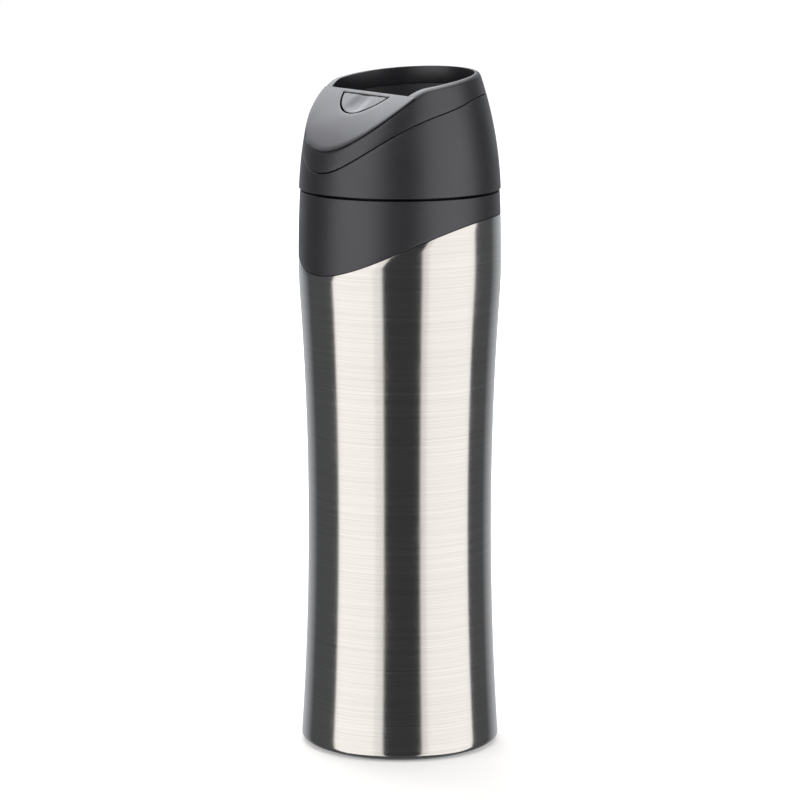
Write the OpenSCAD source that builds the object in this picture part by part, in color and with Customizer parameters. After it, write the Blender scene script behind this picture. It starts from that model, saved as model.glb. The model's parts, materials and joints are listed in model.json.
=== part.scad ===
// Insulated travel mug: steel double-wall body, plastic collar, screw lid with a thumb button that
// rocks a stopper off the drinking hole. Front of the lid (the thumb pad) faces -Y. Millimetres.

/* [Body] */
// Height of the collar's top edge above the surface the mug stands on
collar_top = 191.1; // [190.6:0.1:191.4]
// Radius of the body at its waist
waist_r = 31.4; // [31:0.1:32]
// Height of the waist
waist_z = 78; // [70:1:84]
// Radius of curvature of the waist, seen from the side
waist_curve = 1130; // [1100:10:1300]
// Thickness of the steel outer shell
shell_t = 0.6; // [0.5:0.1:0.8]
// Inner radius of the liner
liner_r = 27.6; // [27.4:0.1:27.8]
// Thickness of the steel liner
liner_t = 0.5; // [0.4:0.1:0.6]

/* [Collar] */
// Height of the collar's lower edge at the back, where it runs level
swoosh_top = 183.4; // [183.4:0.2:184.4]
// Radius of the swoosh, seen from the side
swoosh_curve = 85; // [80:1:85]
// Bore of the collar, outside the thread
collar_bore_r = 30.1; // [30:0.1:30.3]

/* [Lid thread] */
// Rise of the lid in one full turn
thread_lead = 12; // [11:0.5:13]
// Number of thread starts
thread_starts = 3; // [3:1:3]
// Height of each thread ridge above its wall
thread_h = 1.2; // [1:0.1:1.3]

/* [Lid] */
// Radius of curvature of the lid's dome, seen from the side
dome_curve = 136; // [130:1:145]
// Wall thickness of the moulded lid shells
lid_wall = 2; // [1.8:0.1:2.2]
// Radius of the drinking bowl
bowl_r = 25.2; // [25:0.1:25.3]
// Height of the drinking bowl's floor
bowl_floor = 208; // [207:0.5:209]
// Distance of the ridge behind the thumb pad from the lid's centre
ridge_y = 12.6; // [12.4:0.1:12.8]

/* [Button] */
// Radius of the round edge of the button
button_r = 14.6; // [14.4:0.1:14.7]
// Distance of the button's arc centre in front of the lid's axis
button_ahead = 6.2; // [6.1:0.05:6.3]
// Gap between the button and its opening
button_gap = 0.5; // [0.4:0.05:0.6]
// Radius of the hinge pin
pin_r = 1; // [0.9:0.1:1]
// Radius of the drinking hole
spout_r = 4.5; // [4.2:0.1:4.6]

/* [Hidden] */
$fn = 96;
tiny = 0.01;

steel = "silver";
black = "#2b2b2e";
silicone = "#8d8f92";
foam = "#d8d4c8";

// Body: waist arc, a short arc that turns it, and the shoulder arc
turn_z = 155;
shoulder_z = 168;
turn_curve = 190;
shoulder_curve = 450;
shell_bottom = 0.6;
corner_r = 2;
base_lip_r = 31.4;
pad_gap = 0.2;
pad_t = shell_bottom + shell_t;
pad_rings = [18, 26];
pad_ring_w = 1.2;
pad_ring_depth = 0.4;

// Liner, its flange on the collar's shelf, and what fills the space around it
liner_bottom = 7;
liner_corner = 8;
liner_top = 176.6;
flange_r = 30;
gasket_t = 1.2;
shelf_top = liner_top - liner_t - gasket_t;
shelf_t = 2.4;
sleeve_top = 158;
cushion_r = 15;

// Collar
swoosh_y = 19;
seam_gap = 0.15;
tongue_h = 5;
tongue_in = 0.1;
tongue_t = 1.3;

// Thread
thread_base = 1.4;
thread_crest = 0.8;
thread_z = 180.5;
thread_span = 7.5;
thread_sink = 0.4;
plug_r = 28.6;
thread_step = 7.5;

// Lid dome: an arc in side view, turned round the axis
lid_bottom = 191.9;
dome_z = 186.8;
dome_r = -101.66;
lid_top = 232;

// Parting line of skirt and cap, in side view: arc, straight, arc, level
part_curve = 49;
part_y = 6.68;
part_z = 171.43;
part_slope = 15;
part_line_y = -6;
part_turn_y = 8;
part_level_y = 20;
part_gap = 0.1;
snap_h = 3;
snap_out = 2.15;
snap_in = 3.6;

// Top of the lid in side view: the thumb pad's arc, then the sloping rim
pad_curve = 113;
pad_y = 53.3;
pad_z = 133.4;
rim_y = -9.5;
rim_slope = 6.6;
rim_bow = 0.45;
rim_mid = 8.75;
blend_y = 1.6;
deck_edge = 0.6;
deck_t = 2.2;
deck_gap = 0.3;
rim_t = 6;
seam_y = 0.05;

// Bowl of the drinking deck
bowl_wall = 1.2;
bowl_t = 1.8;
ridge_t = 1.3;
slot_w = 9.4;
slot_low = 214.6;
slot_high = 221.1;
spout_y = 13;
spout_wall = 1.5;
seat_h = 0.6;
seat_gap = 0.05;
vent_y = 2;
vent_r = 0.9;
vent_wall = 1.1;
vent_top = 212.4;

// Plug under the skirt
web_t = 2;
web_in = 23.4;
plug_wall = 2;
plug_floor = lid_bottom - 2;
plug_shoulder = 178;
nose_r = 27;
nose_wall = 1.6;
nose_bottom = 168;
socket_h = 3.6;
socket_wall = 1.4;
socket_fit = 0.2;
seal_t = 1.2;
screw_pitch_r = 26;
screw_r = 1;
screw_head_r = 1.9;
screw_head_h = 1.2;
screw_depth = 5;
boss_r = 2.3;
boss_h = 6.4;
post_y = -17.2;
post_r = 3.5;
post_top = 203;
peg_r = 1.7;
peg_h = 3;

// Rocker: hinge, arm and button
hinge_y = -9.5;
hinge_z = 220;
hinge_fit = 0.05;
ear_x = 4.8;
ear_t = 2;
ear_r = 2.5;
pin_half = ear_x + ear_t;
arm_w = 8.6;
arm_boss_r = 2.6;
button_back = -14.2;
button_half = 11.8;
tip_gap = 0.6;
button_lift = 0.1;
button_low = [-20.3, 216.4];
button_high = [-14.2, 221.2];
tail_r = 6;
tail_t = 2;
tail_z = 210.6;
stopper_r = 6.2;
stem_r = 1.5;
stem_hole = 1.6;
spring_r = 2.6;
spring_wire = 0.6;
spring_turns = 6;
spring_top = 215.25;

// ---- outlines ----

function body_r(z) =
    z < turn_z ? waist_r + waist_curve - sqrt(pow(waist_curve, 2) - pow(z - waist_z, 2))
    : z < shoulder_z ? shoulder_r() - arc_drop(turn_curve, shoulder_z - z)
    : shoulder_r() - arc_drop(shoulder_curve, z - shoulder_z);
function shoulder_r() = body_r(turn_z - tiny) + arc_drop(turn_curve, shoulder_z - turn_z);
function arc_drop(r, d) = r - sqrt(r * r - d * d);
function dome(z) = dome_r + sqrt(pow(dome_curve, 2) - pow(z - dome_z, 2));

// Lower edge of the collar, parting line of the lid and top of the lid, as heights over y
function swoosh(y) = swoosh_top - (y < swoosh_y ? arc_drop(swoosh_curve, swoosh_y - y) : 0);
function part_line(y) = part_z + sqrt(pow(part_curve, 2) - pow(min(y, part_line_y) - part_y, 2))
    + tan(part_slope) * (max(part_line_y, min(y, part_turn_y)) - part_line_y)
    + part_rise(max(part_turn_y, min(y, part_level_y)) - part_turn_y);
function part_rise(d) = tan(part_slope) * (d - d * d / (2 * (part_level_y - part_turn_y)));
function pad_line(y) = pad_z + sqrt(pow(pad_curve, 2) - pow(y - pad_y, 2));
function rim_line(y) = pad_line(rim_y) + tan(rim_slope) * (y - rim_y)
    + rim_bow * (1 - pow((y - rim_mid) / (rim_mid - rim_y), 2));
function lid_line(y) = y < rim_y ? pad_line(y) : rim_line(y);

reach = 40;
swoosh_ys = [-reach, for (y = [-36:4:swoosh_y]) y, swoosh_y, reach];
part_ys = [-35, for (y = [-34:2:-8]) y, part_line_y, part_turn_y, 11, 14, 17, part_level_y, reach];
pad_ys = [-35.5, for (y = [-34:3:-16]) y, -ridge_y];
rim_ys = [-ridge_y, rim_y - blend_y, rim_y + blend_y, -3, 3, 9, 15, 21, 28, reach];

function swoosh_edge(up) = [for (y = swoosh_ys) [y, swoosh(y) + up]];
function part_edge(up) = [for (y = part_ys) [y, part_line(y) + up]];
function pad_edge(up) = [for (y = pad_ys) [y, lid_line(y) + up]];
function rim_edge(up) = [for (y = rim_ys) [y + seam_y, lid_line(y) + up]];
function lid_edge(up) = concat(pad_edge(up), rim_edge(up));
function turned(points) = [for (i = [len(points) - 1:-1:0]) points[i]];

// Everything between two edges given from front to back, across the whole width
module between(low, high) {
    rotate([90, 0, 90]) translate([0, 0, -reach]) linear_extrude(2 * reach)
        polygon(concat(low, turned(high)));
}
function level(z) = [[-reach, z], [reach, z]];
module from_side(width) {
    rotate([90, 0, 90]) translate([0, 0, -width / 2]) linear_extrude(width) children();
}

// Walls that follow the body or the dome, from one depth under the surface to another
module body_wall(depth_out, depth_in, z_low, z_high) {
    low_end = min(turn_z, z_high);
    zs = concat([for (i = [0:11]) z_low + (low_end - z_low) * i / 12],
        [for (z = [turn_z, 160, 164, shoulder_z, 174, 180, 186]) if (z < z_high) z], [z_high]);
    rotate_extrude() polygon(concat(
        [for (z = zs) [body_r(z) - depth_out, z]],
        [for (z = turned(zs)) [body_r(z) - depth_in, z]]));
}
dome_steps = 14;
module dome_wall(depth_out, depth_in) {
    zs = [for (i = [0:dome_steps]) lid_bottom + (lid_top - lid_bottom) * i / dome_steps];
    rotate_extrude() polygon(concat(
        [for (z = zs) [dome(z) - depth_out, z]],
        depth_in > 0 ? [for (z = turned(zs)) [dome(z) - depth_in, z]] : [[0, lid_top], [0, lid_bottom]]));
}
module ring(r_in, r_out, z_low, z_high) {
    translate([0, 0, z_low]) difference() {
        cylinder(r = r_out, h = z_high - z_low);
        translate([0, 0, -1]) cylinder(r = r_in, h = z_high - z_low + 2);
    }
}

// ---- thread and spring: sections carried round a helix ----

// Side faces and end caps of a tube of rings, with a given number of points on each ring
function tube_faces(rings, sides) = concat(
    [[for (j = [sides - 1:-1:0]) j]],
    [for (i = [0:rings - 2], j = [0:sides - 1])
        [i * sides + j, i * sides + (j + 1) % sides, (i + 1) * sides + (j + 1) % sides]],
    [for (i = [0:rings - 2], j = [0:sides - 1])
        [i * sides + j, (i + 1) * sides + (j + 1) % sides, (i + 1) * sides + j]],
    [[for (j = [0:sides - 1]) (rings - 1) * sides + j]]);

module thread(root_r, crest_r, phase) {
    steps = round(360 * thread_span / thread_lead / thread_step);
    section = [[root_r, -thread_base / 2], [crest_r, -thread_crest / 2],
        [crest_r, thread_crest / 2], [root_r, thread_base / 2]];
    points = [for (i = [0:steps]) let (a = phase + i * thread_step, z = thread_span * i / steps)
        for (p = crest_r > root_r ? section : turned(section))
            [p[0] * cos(a), p[0] * sin(a), thread_z + z + p[1]]];
    polyhedron(points, tube_faces(steps + 1, 4));
}
module threads(root_r, crest_r, phase) {
    for (k = [0:thread_starts - 1]) thread(root_r, crest_r, phase + 360 * k / thread_starts);
}

// ---- body ----

module outer_shell() {
    corner = [for (a = [-90:15:0])
        [body_r(corner_r) - corner_r + corner_r * cos(a), shell_bottom + corner_r + corner_r * sin(a)]];
    inner_corner_r = corner_r - shell_t;
    inner = [for (a = [0:-15:-90])
        [body_r(corner_r) - corner_r + inner_corner_r * cos(a),
            shell_bottom + corner_r + inner_corner_r * sin(a)]];
    zs = [for (i = [1:12]) turn_z * i / 12];
    high = [160, 164, shoulder_z, 174, 180, swoosh_top + 2];
    wall = concat(zs, high);
    color(steel) intersection() {
        rotate_extrude() polygon(concat([[base_lip_r, shell_bottom]], corner,
            [for (z = wall) [body_r(z), z]], [for (z = turned(wall)) [body_r(z) - shell_t, z]],
            inner, [[base_lip_r, shell_bottom + shell_t]]));
        between(level(-1), swoosh_edge(0));
    }
}

module base_plate() {
    rim = body_r(corner_r) - corner_r - 0.2;
    color(steel) translate([0, 0, pad_t]) cylinder(r = rim, h = shell_t);
}

module base_pad() {
    color(black) difference() {
        cylinder(r = base_lip_r - pad_gap, h = pad_t);
        // Two shallow rings moulded in the underside
        for (r = pad_rings) ring(r, r + pad_ring_w, -1, pad_ring_depth);
    }
}

module inner_liner() {
    out = liner_r + liner_t;
    corner_out = [for (a = [-90:15:0])
        [out - liner_corner + liner_corner * cos(a), liner_bottom + liner_corner * (1 + sin(a))]];
    inner_corner = liner_corner - liner_t;
    corner_in = [for (a = [0:-15:-90])
        [liner_r - inner_corner + inner_corner * cos(a),
            liner_bottom + liner_corner + inner_corner * sin(a)]];
    color(steel) rotate_extrude() polygon(concat([[0, liner_bottom]], corner_out,
        [[out, liner_top - liner_t], [flange_r, liner_top - liner_t], [flange_r, liner_top],
            [liner_r, liner_top]],
        corner_in, [[0, liner_bottom + liner_t]]));
}

module insulation_sleeve() {
    fit = 0.1;
    low = liner_bottom + liner_corner;
    zs = [for (i = [0:12]) low + (sleeve_top - low) * i / 12];
    color(foam) rotate_extrude() polygon(concat(
        [for (z = zs) [body_r(z) - shell_t - fit, z]],
        [[liner_r + liner_t + fit, sleeve_top], [liner_r + liner_t + fit, low]]));
}

module liner_cushion() {
    color(foam) translate([0, 0, pad_t + shell_t])
        cylinder(r = cushion_r, h = liner_bottom - pad_t - shell_t);
}

module collar() {
    color(black) union() {
        // Visible ring over the swoosh, solid to the bore
        difference() {
            intersection() {
                body_wall(0, body_r(collar_top) - collar_bore_r + 2, 150, collar_top);
                between(swoosh_edge(seam_gap), level(collar_top));
            }
            cylinder(r = collar_bore_r, h = collar_top + 1);
        }
        // Tongue inside the steel shell
        intersection() {
            body_wall(shell_t + tongue_in, shell_t + tongue_in + tongue_t, 150, collar_top);
            between(swoosh_edge(-tongue_h), swoosh_edge(seam_gap + 1));
        }
        // Inner ring with the liner's shelf
        difference() {
            intersection() {
                body_wall(shell_t + tongue_in, body_r(collar_top) - collar_bore_r + 8, 150, collar_top);
                between(level(shelf_top - shelf_t), level(collar_top - 1));
            }
            translate([0, 0, shelf_top]) cylinder(r = collar_bore_r, h = collar_top);
            cylinder(r = liner_r + liner_t + 0.2, h = collar_top);
        }
        threads(collar_bore_r + thread_sink, collar_bore_r - thread_h, 60);
    }
}

module liner_gasket() {
    color(silicone) ring(liner_r + liner_t + 0.2, flange_r, shelf_top, shelf_top + gasket_t);
}

// ---- lid ----

module lid_gasket() {
    color(silicone) ring(nose_r + 0.1, plug_r, liner_top + seat_gap, plug_shoulder);
}

module lid_skirt() {
    color(black) difference() {
        union() {
            intersection() {
                dome_wall(0, lid_wall);
                between(level(lid_bottom), part_edge(-part_gap));
            }
            ring(web_in, dome(lid_bottom) - lid_wall / 2, lid_bottom, lid_bottom + web_t);
        }
        at_screws() translate([0, 0, lid_bottom - 1]) cylinder(r = screw_r + 0.1, h = web_t + 2);
    }
}

module at_screws() {
    for (a = [30, 150, 270]) rotate(a) translate([screw_pitch_r, 0, 0]) children();
}

module lid_plug() {
    seat = plug_floor + 2;
    color(black) difference() {
        union() {
            ring(plug_r - plug_wall, plug_r, plug_shoulder, seat);
            ring(nose_r - nose_wall, nose_r, nose_bottom, plug_shoulder + 2);
            ring(nose_r - nose_wall, plug_r, plug_shoulder, plug_shoulder + 2);
            translate([0, 0, plug_floor]) cylinder(r = plug_r - tiny, h = 2);
            threads(plug_r - thread_sink, plug_r + thread_h, 0);
            translate([0, 0, plug_floor - boss_h]) at_screws() cylinder(r = boss_r, h = boss_h + 1);
            translate([0, spout_y, 0])
                ring(spout_r, spout_r + spout_wall + socket_fit + socket_wall, plug_floor,
                    seat + socket_h);
            translate([0, vent_y, 0])
                ring(vent_r, vent_r + vent_wall + socket_fit + socket_wall, plug_floor, seat + socket_h);
            // Post that carries the button's spring
            translate([0, post_y, plug_floor + 1]) cylinder(r = post_r, h = post_top - plug_floor - 1);
            translate([0, post_y, post_top - 1]) cylinder(r = peg_r, h = peg_h + 1);
        }
        translate([0, spout_y, seat]) cylinder(r = spout_r + spout_wall + socket_fit, h = socket_h + 1);
        translate([0, vent_y, seat]) cylinder(r = vent_r + vent_wall + socket_fit, h = socket_h + 1);
        translate([0, spout_y, plug_floor - 1]) cylinder(r = spout_r, h = 4);
        translate([0, vent_y, plug_floor - 1]) cylinder(r = vent_r, h = 4);
        at_screws() translate([0, 0, seat - screw_depth - 0.4]) cylinder(r = screw_r, h = screw_depth + 1);
    }
}

module lid_screws() {
    color(steel) at_screws() union() {
        translate([0, 0, lid_bottom - screw_depth])
            cylinder(r = screw_r - 0.02, h = screw_depth + web_t + 0.5);
        translate([0, 0, lid_bottom + web_t]) difference() {
            cylinder(r = screw_head_r, h = screw_head_h);
            translate([0, 0, 0.5]) cylinder(r = 0.8, h = 2, $fn = 6);
        }
    }
}

module lid_cap() {
    color(black) union() {
        difference() {
            union() {
                // Wall: under the pad in front, up to the rim behind it
                intersection() {
                    dome_wall(0, lid_wall);
                    between(part_edge(part_gap),
                        concat(pad_edge(-deck_edge - deck_gap), rim_edge(-rim_t / 2)));
                }
                // Thickened foot and the tongue that snaps into the skirt
                intersection() {
                    dome_wall(lid_wall / 2, snap_in);
                    between(part_edge(part_gap), part_edge(snap_h));
                    between(level(lid_bottom), lid_edge(-deck_t - deck_gap));
                }
                intersection() {
                    dome_wall(snap_out, snap_in);
                    between(part_edge(-snap_h), part_edge(part_gap + 1));
                    between(level(lid_bottom), lid_edge(-deck_t - deck_gap));
                }
            }
            cylinder(r = bowl_r + bowl_wall + 0.15, h = lid_top + 1);
        }
        // Rim one drinks from, over the bowl's wall
        difference() {
            intersection() {
                dome_wall(0, 0);
                between(rim_edge(-rim_t), rim_edge(0));
            }
            cylinder(r = bowl_r, h = lid_top + 1);
        }
    }
}

module drink_deck() {
    tube_z = lid_bottom + seal_t;
    color(black) difference() {
        union() {
            // Thumb pad, thinner where it lies on the cap
            intersection() {
                dome_wall(0, 0);
                between(pad_edge(-deck_edge), pad_edge(0));
            }
            intersection() {
                dome_wall(lid_wall + 0.1, 0);
                between(pad_edge(-deck_t), pad_edge(-deck_edge / 2));
            }
            // Bowl: wall, floor, and the wall behind the pad that ends in the ridge
            intersection() {
                translate([0, 0, bowl_floor - bowl_t])
                    cylinder(r = bowl_r + bowl_wall, h = lid_top - bowl_floor);
                between([[-ridge_y - ridge_t, 0], [reach, 0]],
                    concat([[-ridge_y - ridge_t, lid_line(-ridge_y - ridge_t) - 0.5],
                        [-ridge_y, lid_line(-ridge_y) - 0.5]], rim_edge(-rim_t - deck_gap)));
            }
            // Drinking tube down to the plug
            translate([0, spout_y, tube_z]) cylinder(r = spout_r + spout_wall, h = bowl_floor - tube_z);
        }
        // Inside of the bowl
        difference() {
            translate([0, 0, bowl_floor]) cylinder(r = bowl_r, h = lid_top);
            translate([-reach, -reach - ridge_y, 0]) cube([2 * reach, reach, lid_top + 10]);
            translate([0, spout_y, 0])
                ring(spout_r, spout_r + spout_wall, bowl_floor - 1, bowl_floor + seat_h);
            for (s = [-1, 1]) translate([s * (ear_x + ear_t / 2) - ear_t / 2, 0, 0]) ear();
        }
        translate([0, hinge_y, hinge_z]) rotate([0, 90, 0]) translate([0, 0, -reach / 4])
            cylinder(r = pin_r + tiny, h = reach / 2);
        translate([0, spout_y, lid_bottom]) cylinder(r = spout_r, h = lid_top);
        translate([0, vent_y, lid_bottom]) cylinder(r = vent_r + vent_wall, h = lid_top);
        // Opening for the button and slot for the arm
        intersection() {
            translate([0, tip_gap - button_ahead, bowl_floor])
                cylinder(r = button_r + button_gap + tip_gap, h = reach);
            translate([-reach, -reach - ridge_y - ridge_t, 0]) cube([2 * reach, reach, lid_top + 10]);
        }
        translate([-slot_w / 2, -ridge_y - ridge_t - 1, slot_low])
            cube([slot_w, ridge_t + 2, slot_high - slot_low]);
    }
}

// One ear of the hinge, grown from the back of the ridge wall
module ear() {
    union() {
        translate([0, hinge_y, hinge_z]) rotate([0, 90, 0]) cylinder(r = ear_r, h = ear_t);
        translate([0, -ridge_y - 1, hinge_z - ear_r])
            cube([ear_t, hinge_y + ridge_y + 1, 2 * ear_r]);
    }
}

module spout_seal() {
    color(silicone) translate([0, spout_y, 0])
        ring(spout_r, spout_r + spout_wall, lid_bottom, lid_bottom + seal_t);
}

module vent_tube() {
    color(steel) translate([0, vent_y, 0]) ring(vent_r, vent_r + vent_wall - tiny, lid_bottom, vent_top);
}

module return_spring() {
    sides = 8;
    per_turn = 14;
    rings = spring_turns * per_turn + 1;
    low = post_top + spring_wire / 2;
    rise = spring_top - spring_wire / 2 - low;
    points = [for (i = [0:rings - 1]) let (a = 360 * i / per_turn, z = low + rise * i / (rings - 1))
        for (j = [0:sides - 1]) let (b = -360 * j / sides, r = spring_r + spring_wire / 2 * cos(b))
            [r * cos(a), post_y + r * sin(a), z - spring_wire / 2 * sin(b)]];
    color(steel) polyhedron(points, tube_faces(rings, sides));
}

module hinge_pin() {
    color(steel) translate([-pin_half, hinge_y, hinge_z]) rotate([0, 90, 0])
        cylinder(r = pin_r, h = 2 * pin_half);
}

// ---- rocker ----

module push_button() {
    outline = concat(
        [for (y = [-22:1:-15]) [y, lid_line(y) - button_lift]],
        [[button_back, lid_line(button_back) - button_lift], button_high, button_low, [-22, button_low[1]]]);
    color(black) intersection() {
        translate([0, -button_ahead, bowl_floor]) cylinder(r = button_r, h = reach);
        from_side(2 * button_half) polygon(outline);
    }
}

module rocker_arm() {
    arm_low = hinge_z - arm_boss_r;
    front = -18.9;
    front_z = button_low[1] + (front - button_low[0]) * (button_high[1] - button_low[1])
        / (button_high[0] - button_low[0]);
    color(black) difference() {
        union() {
            // Front lug under the button, through the slot in the ridge wall
            from_side(arm_w) polygon([[front, front_z], [-15.6, 220.1], [-14.6, 220.3],
                [hinge_y, hinge_z + 0.6], [hinge_y, arm_low], [-15, 215.9], [-17, 215.3], [front, 215.3]]);
            translate([-arm_w / 2, hinge_y, hinge_z]) rotate([0, 90, 0]) cylinder(r = arm_boss_r, h = arm_w);
            // Tail down to the stopper
            from_side(arm_w) polygon([[hinge_y, hinge_z + 2], [spout_y - 4, tail_z + tail_t + 1.6],
                [spout_y, tail_z + tail_t], [spout_y, tail_z], [spout_y - 5, tail_z],
                [vent_y + 4, vent_top + 1.4], [vent_y - 4, vent_top + 1.4], [hinge_y, arm_low]]);
            translate([0, spout_y, tail_z]) cylinder(r = tail_r, h = tail_t);
        }
        translate([-arm_w, hinge_y, hinge_z]) rotate([0, 90, 0])
            cylinder(r = pin_r + hinge_fit, h = 2 * arm_w);
        translate([0, spout_y, tail_z - 1]) cylinder(r = stem_hole, h = 10);
        // Room for the stopper's head
        translate([0, spout_y, tail_z + tail_t]) cylinder(r = stem_r + 1.3, h = 10);
    }
}

module stopper() {
    seat = bowl_floor + seat_h + seat_gap;
    color(silicone) translate([0, spout_y, 0]) rotate_extrude() polygon([
        [0, seat - 1], [2.9, seat - 1], [3.6, seat], [stopper_r, seat], [stopper_r, tail_z - 0.4],
        [stopper_r - 0.4, tail_z], [stem_r, tail_z], [stem_r, tail_z + tail_t],
        [stem_r + 0.9, tail_z + tail_t], [stem_r + 0.4, tail_z + tail_t + 1.1], [0, tail_z + tail_t + 1.1]]);
}

module vent_seal() {
    color(silicone) translate([0, vent_y, vent_top + seat_gap]) cylinder(r = 2.6, h = 1.4 - seat_gap);
}

outer_shell();
base_plate();
base_pad();
inner_liner();
insulation_sleeve();
liner_cushion();
collar();
liner_gasket();
lid_gasket();
lid_skirt();
lid_plug();
lid_screws();
lid_cap();
drink_deck();
spout_seal();
vent_tube();
return_spring();
hinge_pin();
push_button();
rocker_arm();
stopper();
vent_seal();
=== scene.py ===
# Insulated travel mug: its visible surfaces, modelled on the mug's solid frame, with its finishes,
# floor, lights and camera. Everything is in metres; the front of the lid, with the thumb pad, faces -Y.
import json
import math

import bmesh
import bpy
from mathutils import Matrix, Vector


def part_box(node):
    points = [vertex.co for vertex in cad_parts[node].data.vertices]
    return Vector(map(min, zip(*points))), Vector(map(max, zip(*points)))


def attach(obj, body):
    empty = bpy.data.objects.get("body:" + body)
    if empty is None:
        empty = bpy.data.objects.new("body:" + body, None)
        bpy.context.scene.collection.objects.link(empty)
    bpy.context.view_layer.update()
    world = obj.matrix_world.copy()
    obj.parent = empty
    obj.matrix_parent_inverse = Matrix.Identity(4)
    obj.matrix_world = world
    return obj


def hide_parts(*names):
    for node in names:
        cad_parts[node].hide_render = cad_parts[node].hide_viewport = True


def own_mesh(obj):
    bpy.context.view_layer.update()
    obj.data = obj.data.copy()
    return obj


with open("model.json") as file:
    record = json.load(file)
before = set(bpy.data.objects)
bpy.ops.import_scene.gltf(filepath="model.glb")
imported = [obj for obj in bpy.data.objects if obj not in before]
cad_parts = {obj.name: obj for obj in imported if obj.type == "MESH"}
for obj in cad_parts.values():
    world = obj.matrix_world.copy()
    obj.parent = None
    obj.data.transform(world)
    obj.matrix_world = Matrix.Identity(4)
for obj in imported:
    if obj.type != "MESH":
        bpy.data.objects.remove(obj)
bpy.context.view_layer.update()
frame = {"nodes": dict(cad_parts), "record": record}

bl_info = {
    "name": "Insulated Travel Mug",
    "version": (1, 0, 0),
    "blender": (4, 5, 0),
    "location": "View3D > Sidebar > Mug",
    "description": "Builds a steel travel mug with a screw lid and a thumb button",
    "category": "Object",
}

MM = 0.001
STEPS = 160
WIDE = 45 * MM  # half the width of sheets and cutters, wider than the mug
PARTING_START = (31 * MM, 215 * MM)  # radius and height of a parting ring before it is seated


def length(name, description, default):
    return bpy.props.FloatProperty(name=name, description=description, default=default * MM, unit="LENGTH",
                                   precision=5)


def colour(name, description, default):
    return bpy.props.FloatVectorProperty(name=name, description=description, default=default,
                                         subtype="COLOR", size=3, min=0.0, max=1.0)


class MugBodySizes(bpy.types.PropertyGroup):
    """Sizes of the steel body, its liner and its collar"""
    waist_r: length("Waist radius", "Radius of the body at its waist", 31.4)
    waist_z: length("Waist height", "Height of the waist", 78)
    waist_curve: length("Waist curve", "Radius of the waist's curve, seen from the side", 1130)
    turn_z: length("Shoulder start", "Height where the shoulder begins to turn", 155)
    turn_curve: length("Turn curve", "Radius of the curve below the shoulder", 190)
    shoulder_z: length("Shoulder height", "Height of the widest part", 168)
    shoulder_curve: length("Shoulder curve", "Radius of the curve above the shoulder", 450)
    shell_bottom: length("Shell bottom", "Height of the shell's lower edge", 0.6)
    corner_r: length("Bottom corner", "Radius of the rounded bottom corner", 2)
    base_lip_r: length("Base lip", "Radius where the shell's bottom ends", 31.4)
    shell_t: length("Shell thickness", "Thickness of the steel shell", 0.6)
    collar_top: length("Collar top", "Height of the collar's upper edge", 191.1)
    collar_bore: length("Collar bore", "Radius of the collar's bore", 30.1)
    swoosh_top: length("Swoosh height", "Height of the collar's lower edge at the back", 183.4)
    swoosh_y: length("Swoosh start", "Distance behind the axis where the swoosh begins", 19)
    swoosh_curve: length("Swoosh curve", "Radius of the swoosh, seen from the side", 85)
    seam: length("Collar seam", "Gap between the shell and the collar", 0.15)
    liner_r: length("Liner radius", "Inner radius of the cup", 27.6)
    liner_t: length("Liner thickness", "Thickness of the cup's wall", 0.5)
    liner_bottom: length("Liner bottom", "Height of the cup's underside", 7)
    liner_corner: length("Liner corner", "Radius of the cup's bottom corner", 8)
    liner_top: length("Liner top", "Height of the cup's flange", 176.6)
    flange_r: length("Flange radius", "Radius of the cup's flange", 30)


class MugLidSizes(bpy.types.PropertyGroup):
    """Sizes of the lid, its thumb pad, its bowl and its button"""
    bottom: length("Lid bottom", "Height of the lid's lower edge", 191.9)
    dome_curve: length("Dome curve", "Radius of the dome, seen from the side", 136)
    dome_z: length("Dome height", "Height where the dome stands upright", 186.8)
    dome_r: length("Dome centre", "Distance of the dome curve's centre from the axis", -101.66)
    part_curve: length("Parting curve", "Radius of the parting line, seen from the side", 49)
    part_y: length("Parting centre", "Place of the parting curve's centre from front to back", 6.68)
    part_z: length("Parting height", "Height of the parting curve's centre", 171.43)
    pad_curve: length("Pad curve", "Radius of the thumb pad, seen from the side", 113)
    pad_y: length("Pad centre", "Place of the pad curve's centre from front to back", 53.3)
    pad_z: length("Pad height", "Height of the pad curve's centre", 133.4)
    pad_t: length("Pad edge", "Thickness of the pad's edge on the cap", 0.45)
    pad_gap: length("Pad groove", "Height of the groove under the pad's edge", 0.45)
    rim_y: length("Rim start", "Where the pad's curve meets the rim's", -9.5)
    bowl_r: length("Bowl radius", "Radius of the drinking bowl", 25.2)
    bowl_wall: length("Bowl wall", "Thickness of the bowl's wall", 1.2)
    bowl_floor: length("Bowl floor", "Height of the bowl's floor", 208)
    rim_t: length("Rim depth", "Depth of the rim over the bowl's wall", 6)
    ridge_y: length("Ridge", "Distance of the ridge's back in front of the axis", 12.6)
    ridge_t: length("Ridge thickness", "Thickness of the wall under the ridge", 1.3)
    button_r: length("Button radius", "Radius of the button's round edge", 14.6)
    button_ahead: length("Button offset", "How far the button's arc centre lies in front of the axis", 6.2)
    tip_gap: length("Tip gap", "How much wider the gap is at the button's tips", 0.6)
    button_gap: length("Button gap", "Gap between the button and its opening", 0.5)
    button_back: length("Button back", "Distance of the button's back edge in front of the axis", 14.2)
    button_half: length("Button half width", "Half the width of the button", 11.8)
    spout_y: length("Spout", "Distance of the drinking hole behind the axis", 13)
    spout_r: length("Spout radius", "Radius of the drinking hole", 4.5)


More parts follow.
